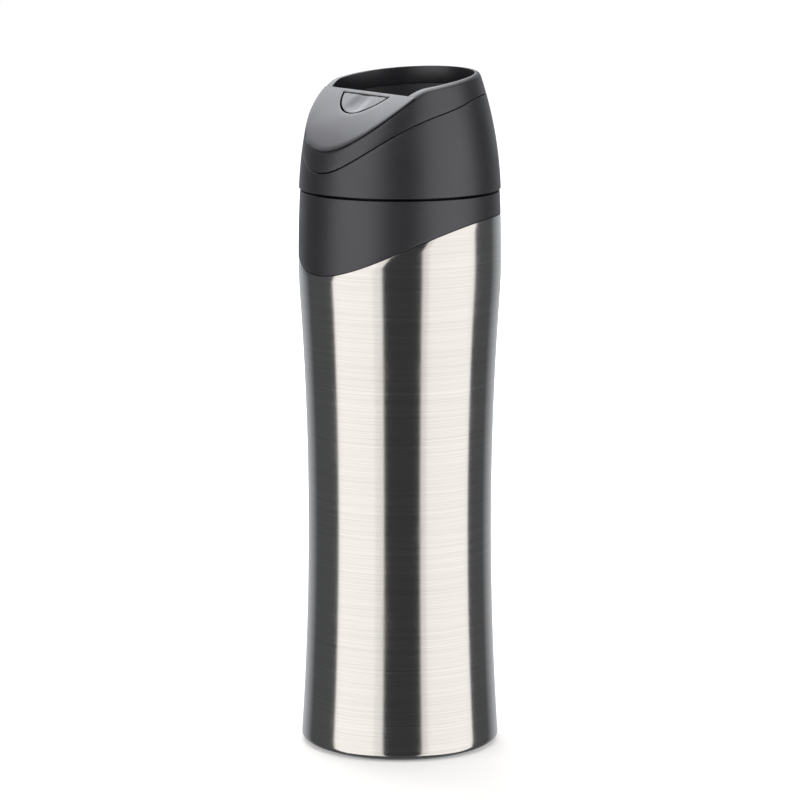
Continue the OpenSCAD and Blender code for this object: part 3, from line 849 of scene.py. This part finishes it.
class MUG_OT_cap(bpy.types.Operator):
    """Makes the lid's cap with the rim one drinks from"""
    bl_idname = "mug.cap"
    bl_label = "Cap and rim"

    def execute(self, context):
        s = lid_sizes()
        form, top = dome_form(), top_sheet()
        line = sheet("parting", lambda y: softened(parting_line, y) + 0.12 * MM)
        low = seat_ring("low", form, line, *PARTING_START)
        high = seat_ring("high", form, top, 28 * MM, 228 * MM)
        cap = wrap_band("lid_cap_shell", form, low, high, 2)
        lip = lay_on(circle("lip", s.bowl_r, 228 * MM), top)
        cap = weld("lid_cap_shell", cap, lip)
        bench(cap)
        join_edges(cap, lambda m: m.z > softened(lid_line, m.y) - 1 * MM)
        # Down inside the lip, out under it, and down the inside of the wall
        open_edge(cap, lambda m: m.xy.length < s.bowl_r + 0.2 * MM)
        pull(1.0, -s.rim_t)
        pull(1.05)
        open_edge(cap, lambda m: m.z < softened(parting_line, m.y) + 1 * MM)
        pull(0.94)
        join_edges(cap)
        tidy_mesh()
        for inner, width in ((False, 1.3 * MM), (True, 0.7 * MM)):
            pick(cap, "EDGE", lambda m, along: abs(m.z - softened(lid_line, m.y)) < 0.4 * MM
                 and (m.xy.length < s.bowl_r + 0.05 * MM) == inner
                 and (inner or m.xy.length > dome_radius(m.z) - 0.1 * MM))
            bpy.ops.mesh.bevel(offset=width, segments=6, affect="EDGES", clamp_overlap=True)
        off_bench(cap)
        ease(cap, 0.28 * MM, 3, 60)
        # Bed for the thumb pad
        bed = s.pad_t + s.pad_gap
        ys = [(-44 + 1.2 * k) * MM for k in range(27)]
        ys = [y for y in ys if y < -s.ridge_y - 0.3 * MM] + [-s.ridge_y]
        side = [(y, softened(lid_line, y) - bed) for y in ys] + [(-s.ridge_y, 250 * MM), (ys[0], 250 * MM)]
        carve(cap, prism("bed", side, -WIDE, WIDE))
        discard(form, line, top)
        finish_piece(cap, "lid", "cap_plastic", "moulded plastic", "lid_cap")
        return {"FINISHED"}


def trim(piece, point, normal):
    """Cuts away what lies on the far side of a plane."""
    bench(piece)
    grab_all()
    bpy.ops.mesh.bisect(plane_co=point, plane_no=normal, clear_outer=True)
    return off_bench(piece)


class MUG_OT_thumb_pad(bpy.types.Operator):
    """Makes the thumb pad with the button's opening and the ridge behind it"""
    bl_idname = "mug.thumb_pad"
    bl_label = "Thumb pad"

    def execute(self, context):
        s = lid_sizes()
        form, top = dome_form(), top_sheet()
        edge = seat_ring("edge", form, top, 30 * MM, 225 * MM)
        hole_r, hole_y = s.button_r + s.button_gap + s.tip_gap, s.tip_gap - s.button_ahead

        def within(m, extra=0.0):
            return math.hypot(m.x, m.y - hole_y) < hole_r + extra

        opening = shift(circle("opening", hole_r, 225 * MM), y=hole_y)
        pad = weld("thumb_pad", edge, opening)
        bench(pad)
        bpy.ops.mesh.select_mode(type="EDGE")
        grab_all()
        bpy.ops.mesh.bridge_edge_loops()
        pick(pad, "EDGE", lambda m, along: abs(along.x * m.y - along.y * m.x) < 0.6 * m.xy.length)
        bpy.ops.mesh.subdivide(number_cuts=7)
        # The middle of the ring, for the strip behind the button
        open_edge(pad, lambda m: within(m, 0.1 * MM))
        for grow in (0.9, 0.8, 0.6):
            pull(grow)
        bpy.ops.mesh.merge(type="CENTER")
        tidy_mesh()
        back, front = -s.ridge_y, -s.ridge_y - s.ridge_t
        grab_all()
        bpy.ops.mesh.bisect(plane_co=(0, back, 0), plane_no=(0, 1, 0), clear_outer=True)
        grab_all()
        bpy.ops.mesh.bisect(plane_co=(0, front, 0), plane_no=(0, 1, 0))
        pick(pad, "FACE", lambda m, normal: m.y < front and within(m))
        bpy.ops.mesh.delete(type="FACE")
        tidy_mesh(0.06 * MM)
        off_bench(pad)
        lay_on(pad, top)
        bench(pad)
        face_up(pad)
        off_bench(pad)
        thicken(pad, s.pad_t)
        ease(pad, 0.2 * MM, 3)
        discard(form, top)
        finish_piece(pad, "lid", "deck_plastic", "pad plastic", "drink_deck")
        return {"FINISHED"}


class MUG_OT_bowl(bpy.types.Operator):
    """Makes the drinking bowl behind the pad, with its hole and the lever's ears"""
    bl_idname = "mug.bowl"
    bl_label = "Drinking bowl"

    def execute(self, context):
        s = lid_sizes()
        wall, floor, fillet = s.bowl_wall, s.bowl_floor, 1.5 * MM
        arc = [math.pi / 2 * k / 6 for k in range(7)]
        outline = [(0, floor - 1.8 * MM), (s.bowl_r + wall, floor - 1.8 * MM), (s.bowl_r + wall, 236 * MM),
                   (s.bowl_r, 236 * MM)]
        outline += [(s.bowl_r - fillet * (1 - math.cos(a)), floor + fillet * (1 - math.sin(a))) for a in arc]
        bowl = turn("drinking_bowl", outline + [(0, floor)])
        under = -s.rim_t - 0.02 * MM
        ys = [-WIDE + 1.5 * MM * k for k in range(61)]
        side = [(y, softened(lid_line, y) + under) for y in ys] + [(WIDE, 260 * MM), (-WIDE, 260 * MM)]
        carve(bowl, prism("over", side, -WIDE, WIDE))
        front = [(-s.ridge_y, 180 * MM), (-s.ridge_y, 260 * MM), (-60 * MM, 260 * MM), (-60 * MM, 180 * MM)]
        carve(bowl, prism("front", front, -WIDE, WIDE))
        hole = turn("hole", [(0, 200 * MM), (s.spout_r, 200 * MM), (s.spout_r, 215 * MM), (0, 215 * MM)],
                    steps=64)
        carve(bowl, shift(hole, y=s.spout_y))
        side = [(0, -6), (1.5, -6), (1.5, 0.35), (1.25, 0.6), (0.2, 0.6), (0, 0.4)]
        seat = turn("seat", [(s.spout_r + r * MM, floor + z * MM) for r, z in side], steps=64)
        shift(seat, y=s.spout_y)
        # Wall under the ridge, with the slot for the lever
        half = math.sqrt((s.bowl_r + wall) ** 2 - (s.ridge_y + s.ridge_t) ** 2)
        back, front, low = -s.ridge_y, -s.ridge_y - s.ridge_t, floor - 1.8 * MM
        top = lid_line(front) - s.pad_t + 0.05 * MM
        edge = prism("ridge wall", [(front, low), (back, low), (back, top), (front, top)], -half, half)
        slot_half, slot_low, slot_high = 4.7 * MM, 214.6 * MM, 221.1 * MM
        slot = prism("slot", [(-20 * MM, slot_low), (-8 * MM, slot_low), (-8 * MM, slot_high),
                              (-20 * MM, slot_high)], -slot_half, slot_half)
        carve(edge, slot)
        ease(edge, 0.15 * MM, 2)
        ears = []
        pin_y, pin_z, ear_r, root_y = -9.5 * MM, 220 * MM, 2.5 * MM, -s.ridge_y - 0.3 * MM
        round_end = [(pin_y + ear_r * math.cos(a), pin_z + ear_r * math.sin(a))
                     for a in (math.radians(-90 + 10 * k) for k in range(19))]
        profile = [(root_y, pin_z - ear_r), *round_end, (root_y, pin_z + ear_r)]
        for side_x in (-1, 1):
            ear = prism("ear", profile, side_x * 4.8 * MM, side_x * 6.8 * MM)
            ears.append(ease(ear, 0.3 * MM, 3, 60))
        bowl = weld("drinking_bowl", bowl, seat, edge, *ears)
        # Painted light: the bowl's inner plastic is lighter, standing in for light reaching inside the bowl
        finish_piece(bowl, "lid", "deck_plastic", "inner plastic", "drink_deck")
        return {"FINISHED"}


class MUG_OT_button(bpy.types.Operator):
    """Makes the crescent button with its thumb dish"""
    bl_idname = "mug.button"
    bl_label = "Thumb button"

    def execute(self, context):
        s = lid_sizes()
        top = sheet("button line", lambda y: pad_line(y) - 0.1 * MM, -30 * MM, -8 * MM, 0.4 * MM)
        button = circle("thumb_button", s.button_r, 225 * MM)
        bench(button)
        grab_all()
        # 26 rings inwards, evenly spaced, which leave a small one in the middle
        rings, steps_in = 26, 32
        for k in range(rings):
            pull((1 - (k + 1) / steps_in) / (1 - k / steps_in))
        bpy.ops.mesh.edge_face_add()
        off_bench(button)
        shift(button, y=-s.button_ahead)
        trim(button, (0, -s.button_back, 0), (0, 1, 0))
        for way in (1, -1):
            trim(button, (way * s.button_half, 0, 0), (way, 0, 0))
        bench(button)
        tidy_mesh(0.05 * MM)
        off_bench(button)
        lay_on(button, top)
        # Dish: the middle sinks and its surroundings follow
        bench(button)
        dish_y = -17.6 * MM
        pick(button, "VERT", lambda co, normal: abs(co.x) < 1.2 * MM and abs(co.y - dish_y) < 0.5 * MM)
        bpy.ops.transform.translate(value=(0, 0, -0.6 * MM), use_proportional_edit=True,
                                    proportional_edit_falloff="SMOOTH", proportional_size=5.5 * MM)
        face_up(button)
        off_bench(button)
        modify(button, "SOLIDIFY", thickness=2.4 * MM, offset=-1, use_even_offset=False)
        ease(button, 0.3 * MM, 4, 55)
        discard(top)
        finish_piece(button, "rocker", "button_plastic", "button plastic", "push_button")
        return {"FINISHED"}


class MUG_OT_lever(bpy.types.Operator):
    """Makes the lever from the button to the stopper"""
    bl_idname = "mug.lever"
    bl_label = "Rocker lever"

    def execute(self, context):
        s = lid_sizes()
        side = [(-18.9, 217.3), (-15.6, 220.0), (-14.6, 220.3), (-12.0, 220.4), (-11.3, 221.8),
                (-10.2, 222.5), (-8.9, 222.5), (-7.6, 221.7), (-6, 220.5), (9, 214.2), (13, 212.6),
                (13, 210.6), (8, 210.6), (6, 213.8), (-2, 213.8), (-9.5, 217.4), (-15, 215.9),
                (-17, 215.3), (-18.9, 215.3)]
        half = 4.3 * MM
        arm = prism("rocker_lever", [(y * MM, z * MM) for y, z in side], -half, half)
        ease(arm, 0.45 * MM, 3, 40)
        disc = turn("disc", [(1.6 * MM, 210.6 * MM), (5.8 * MM, 210.6 * MM), (6 * MM, 210.8 * MM),
                             (6 * MM, 212.2 * MM), (5.6 * MM, 212.6 * MM), (1.6 * MM, 212.6 * MM)], steps=64)
        shift(disc, y=s.spout_y)
        room = turn("room", [(0, 212.6 * MM), (2.8 * MM, 212.6 * MM), (2.8 * MM, 222 * MM), (0, 222 * MM)],
                    steps=48)
        carve(arm, shift(room, y=s.spout_y))
        arm = weld("rocker_lever", arm, disc)
        finish_piece(arm, "rocker", "arm_plastic", "inner plastic", "rocker_arm")
        return {"FINISHED"}


class MUG_OT_stopper(bpy.types.Operator):
    """Turns the silicone stopper"""
    bl_idname = "mug.stopper"
    bl_label = "Stopper"

    def execute(self, context):
        s = lid_sizes()
        seat = s.bowl_floor + 0.65 * MM
        side = [(0, -1.0), (2.7, -1.0), (2.95, -0.9), (3.6, 0), (5.9, 0), (6.2, 0.25), (6.2, 1.5),
                (5.8, 1.95), (1.5, 1.95), (1.5, 3.95), (2.4, 3.95), (2.3, 4.5), (1.8, 5.0), (0.9, 5.15),
                (0, 5.2)]
        stopper = turn("stopper_plug", [(r * MM, seat + z * MM) for r, z in side], steps=64)
        shift(stopper, y=s.spout_y)
        finish_piece(stopper, "rocker", "silicone", "silicone", "stopper")
        return {"FINISHED"}


class MUG_OT_spring(bpy.types.Operator):
    """Winds the button's spring"""
    bl_idname = "mug.spring"
    bl_label = "Return spring"

    def execute(self, context):
        low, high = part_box("return_spring")
        wire, coil, turns = 0.3 * MM, 2.6 * MM, 6
        centre_y = (low[1] + high[1]) / 2
        alone()
        bpy.ops.mesh.primitive_circle_add(vertices=12, radius=wire, location=(coil, 0, low[2] + wire),
                                          rotation=(math.pi / 2, 0, 0))
        spring = bpy.context.object
        spring.name = spring.data.name = "button_spring"
        bpy.ops.object.transform_apply(location=True, rotation=True)
        pitch = (high[2] - low[2] - 2 * wire) / turns
        modify(spring, "SCREW", angle=2 * math.pi, screw_offset=pitch, iterations=turns, steps=32,
               render_steps=32, axis="Z")
        bench(spring)
        close_ends()
        off_bench(spring)
        shift(spring, y=centre_y)
        finish_piece(spring, "lid", "fastener_steel", "small steel", "return_spring", angle=60)
        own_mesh(spring)
        return {"FINISHED"}


class MUG_OT_stage(bpy.types.Operator):
    """Sets up the pale floor, the soft lights and the camera"""
    bl_idname = "mug.stage"
    bl_label = "Floor, lights and camera"

    def execute(self, context):
        scene = context.scene
        alone()
        bpy.ops.mesh.primitive_plane_add(size=6, location=(0, 0, -0.05 * MM))
        floor = bpy.context.object
        floor.name = "floor"
        material, tree, shader = new_material("pale floor", Roughness=0.9)
        shader.inputs["Base Color"].default_value = (*scene.mug_finishes.floor, 1)
        # Painted light: the floor glows white, faintly next to the mug so that a little of its shadow stays,
        # and more strongly further out, in place of studio light washing it white
        shader.inputs["Emission Color"].default_value = (1, 1, 1, 1)
        place = node(tree, "ShaderNodeTexCoord", (-700, -200))
        reach = node(tree, "ShaderNodeVectorMath", (-500, -200), operation="LENGTH")
        painted_floor_glow = node(tree, "ShaderNodeMapRange", (-300, -200), interpolation_type="SMOOTHSTEP",
                    inputs={"From Min": 0.05, "From Max": 0.7, "To Min": 0.28, "To Max": 0.95})
        link_up(tree, (place.outputs["Object"], reach.inputs[0]),
                (reach.outputs["Value"], painted_floor_glow.inputs["Value"]),
                (painted_floor_glow.outputs["Result"], shader.inputs["Emission Strength"]))
        # Seen from below, the floor lets the foot through
        clear = node(tree, "ShaderNodeBsdfTransparent", (300, -300))
        below = node(tree, "ShaderNodeNewGeometry", (300, 300))
        mix = node(tree, "ShaderNodeMixShader", (500, 0))
        link_up(tree, (below.outputs["Backfacing"], mix.inputs["Fac"]), (shader.outputs[0], mix.inputs[1]),
                (clear.outputs[0], mix.inputs[2]),
                (mix.outputs[0], tree.nodes["Material Output"].inputs["Surface"]))
        floor.data.materials.append(material)
        floor.visible_glossy = False
        side = math.radians(54)
        toward = (math.sin(side), -math.cos(side))
        right = (math.cos(side), math.sin(side))
        # Tall soft boxes to the left and the right of the camera, each with a dimmer strip on its inner side
        boxes = (("left softbox", -56.5, 0.96, 9.3), ("left strip", -25.2, 0.201, 1.65),
                 ("right softbox", 63.3, 1.17, 11.0), ("right strip", 29, 0.14, 1.05))
        for name, angle, width, power in boxes:
            a = math.radians(angle)
            x = math.cos(a) * toward[0] + math.sin(a) * right[0]
            y = math.cos(a) * toward[1] + math.sin(a) * right[1]
            add_softbox(name, (x, y, 0.1), (0, 0, 0.1), (width, 2.6), power, (1.0, 0.965, 0.925))
        add_softbox("top softbox", (-0.25, 0.2, 1.5), (0, 0, 0.2), (1.4, 1.4), 18.0, (1.0, 0.99, 0.98))
        add_softbox("back softbox", (-1.18, 0.30, 1.1), (0, 0, 0.22), (1.2, 0.9), 8.5, (0.97, 0.97, 1.0))
        build_world(scene, toward)
        data = bpy.data.cameras.new("camera")
        data.sensor_width, data.lens = 36, 171.9
        data.clip_start, data.clip_end = 0.05, 20
        camera = bpy.data.objects.new("camera", data)
        scene.collection.objects.link(camera)
        camera.location = (1.042, -0.757, 0.3435)
        camera.rotation_euler = (math.radians(90 - 9.9), 0, side)
        scene.camera = camera
        scene.view_settings.view_transform = "Standard"
        scene.view_settings.look = "None"
        return {"FINISHED"}


def add_softbox(name, place, target, size, power, tone):
    data = bpy.data.lights.new(name, "AREA")
    data.shape, data.size, data.size_y, data.energy = "RECTANGLE", size[0], size[1], power
    data.color = tone
    lamp = bpy.data.objects.new(name, data)
    bpy.context.scene.collection.objects.link(lamp)
    lamp.location = place
    lamp.rotation_euler = (Vector(target) - Vector(place)).to_track_quat("-Z", "Y").to_euler()
    lamp.visible_camera = False


def build_world(scene, toward):
    """White where the camera looks; for light, bright behind the mug and dim in front."""
    world = bpy.data.worlds.new("studio")
    scene.world = world
    world.use_nodes = True
    tree = world.node_tree
    tree.nodes.clear()
    place = node(tree, "ShaderNodeTexCoord", (-900, 0))
    ahead = node(tree, "ShaderNodeVectorMath", (-700, 0), operation="DOT_PRODUCT")
    ahead.inputs[1].default_value = (toward[0], toward[1], 0)
    behind = node(tree, "ShaderNodeMapRange", (-500, 100),
                  inputs={"From Min": -0.95, "From Max": -0.6, "To Min": 0.5, "To Max": 0.0})
    sides = node(tree, "ShaderNodeMapRange", (-500, -150),
                 inputs={"From Min": 0.3, "From Max": 0.9, "To Min": 0.09, "To Max": 0.048})
    both = node(tree, "ShaderNodeMath", (-300, 0), operation="ADD")
    room = node(tree, "ShaderNodeBackground", (-200, 0))
    white = node(tree, "ShaderNodeBackground", (-200, -200), inputs={"Strength": 1.0})
    white.inputs["Color"].default_value = (1, 1, 1, 1)
    room.inputs["Color"].default_value = (0.93, 0.96, 1.0, 1)
    seen = node(tree, "ShaderNodeLightPath", (-200, 300))
    mix = node(tree, "ShaderNodeMixShader", (50, 0))
    out = node(tree, "ShaderNodeOutputWorld", (250, 0))
    for k, ramp in enumerate((behind, sides)):
        link_up(tree, (ahead.outputs["Value"], ramp.inputs["Value"]),
                (ramp.outputs["Result"], both.inputs[k]))
    link_up(tree, (place.outputs["Generated"], ahead.inputs[0]), (both.outputs[0], room.inputs["Strength"]),
            (seen.outputs["Is Camera Ray"], mix.inputs["Fac"]), (room.outputs[0], mix.inputs[1]),
            (white.outputs[0], mix.inputs[2]), (mix.outputs[0], out.inputs["Surface"]))


class MUG_PT_panel(bpy.types.Panel):
    """Lists the mug's operators"""
    bl_idname = "MUG_PT_panel"
    bl_label = "Travel Mug"
    bl_space_type = "VIEW_3D"
    bl_region_type = "UI"
    bl_category = "Mug"

    def draw(self, context):
        for operator in OPERATORS:
            self.layout.operator(operator.bl_idname)


OPERATORS = (MUG_OT_finishes, MUG_OT_steel_shell, MUG_OT_foot, MUG_OT_cup, MUG_OT_collar, MUG_OT_skirt,
             MUG_OT_cap, MUG_OT_thumb_pad, MUG_OT_bowl, MUG_OT_button, MUG_OT_lever, MUG_OT_stopper,
             MUG_OT_spring, MUG_OT_stage)
CLASSES = (MugBodySizes, MugLidSizes, MugFinishes, *OPERATORS, MUG_PT_panel)


def register():
    for item in CLASSES:
        bpy.utils.register_class(item)
    bpy.types.Scene.mug_body = bpy.props.PointerProperty(type=MugBodySizes)
    bpy.types.Scene.mug_lid = bpy.props.PointerProperty(type=MugLidSizes)
    bpy.types.Scene.mug_finishes = bpy.props.PointerProperty(type=MugFinishes)


def unregister():
    del bpy.types.Scene.mug_finishes
    del bpy.types.Scene.mug_lid
    del bpy.types.Scene.mug_body
    for item in reversed(CLASSES):
        bpy.utils.unregister_class(item)


def main():
    register()
    for operator in OPERATORS:
        section, name = operator.bl_idname.split(".")
        getattr(getattr(bpy.ops, section), name)()


if __name__ == "__main__":
    main()
